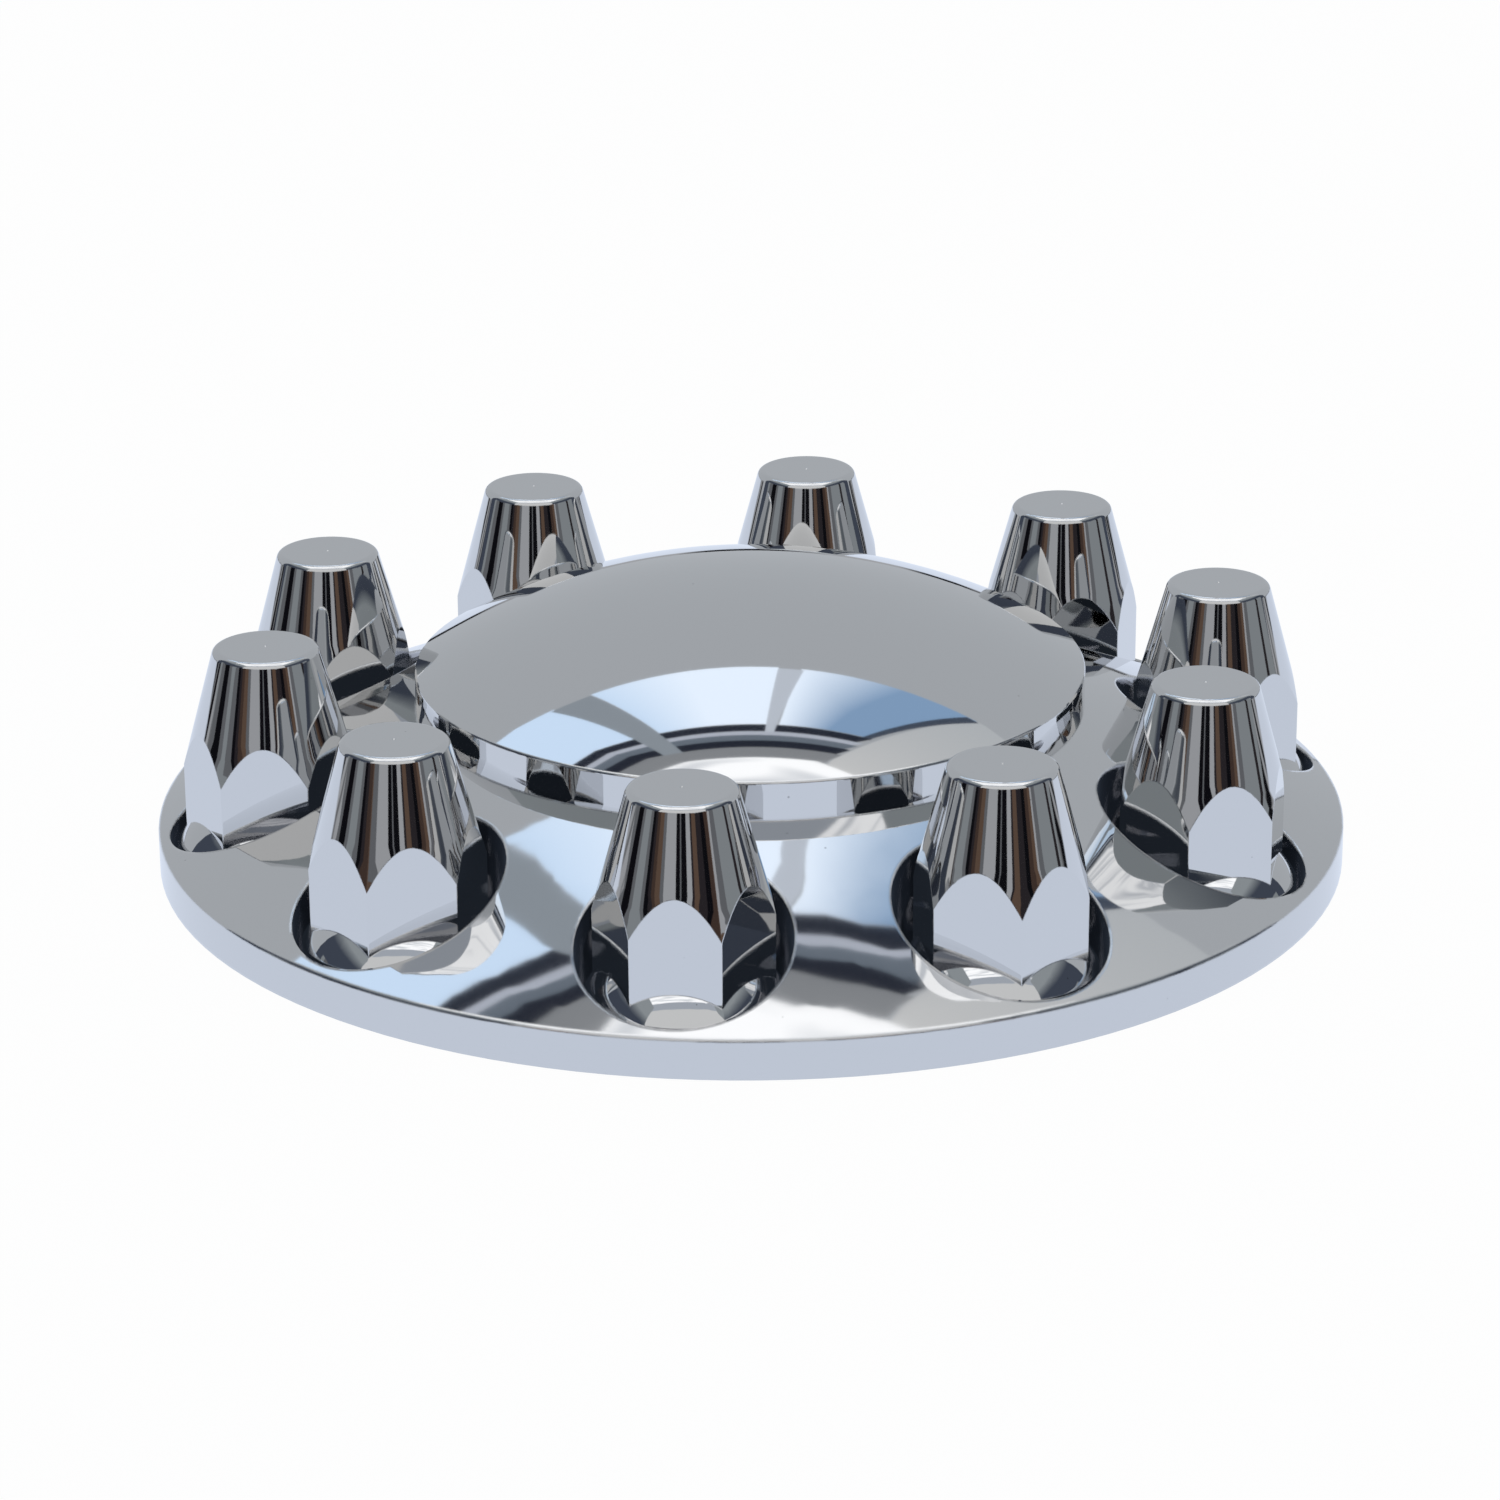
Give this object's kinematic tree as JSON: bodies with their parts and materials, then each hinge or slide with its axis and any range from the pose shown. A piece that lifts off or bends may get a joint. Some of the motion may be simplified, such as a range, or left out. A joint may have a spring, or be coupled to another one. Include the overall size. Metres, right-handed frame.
{
  "type": "wheel axle cover with lug nut caps",
  "caption": "Chromed truck wheel dress-up cover: a flared axle cover with a domed hub cap in its middle and tall push-on lug nut caps standing in its wells.",
  "frame": {"origin": "on the wheel face at the axle's centre line, in the plane that the cover's skirt and well floors rest on", "axes": "+Z along the axle, away from the wheel; -Y through the centre of the first well"},
  "size_m": [0.352, 0.352, 0.082],
  "materials": {
    "cover_chrome": "bright chrome plate on moulded plastic",
    "hub_cap_chrome": "bright chrome plate on moulded plastic",
    "lug_cap_chrome": "bright chrome plate on moulded plastic"
  },
  "bodies": {
    "root": {"axle_cover": "cover_chrome", "hub_cap": "hub_cap_chrome", "lug_nut_cap_01": "lug_cap_chrome", "lug_nut_cap_02": "lug_cap_chrome", "lug_nut_cap_03": "lug_cap_chrome", "lug_nut_cap_04": "lug_cap_chrome", "lug_nut_cap_05": "lug_cap_chrome", "lug_nut_cap_06": "lug_cap_chrome", "lug_nut_cap_07": "lug_cap_chrome", "lug_nut_cap_08": "lug_cap_chrome", "lug_nut_cap_09": "lug_cap_chrome", "lug_nut_cap_10": "lug_cap_chrome"}
  },
  "joints": []
}
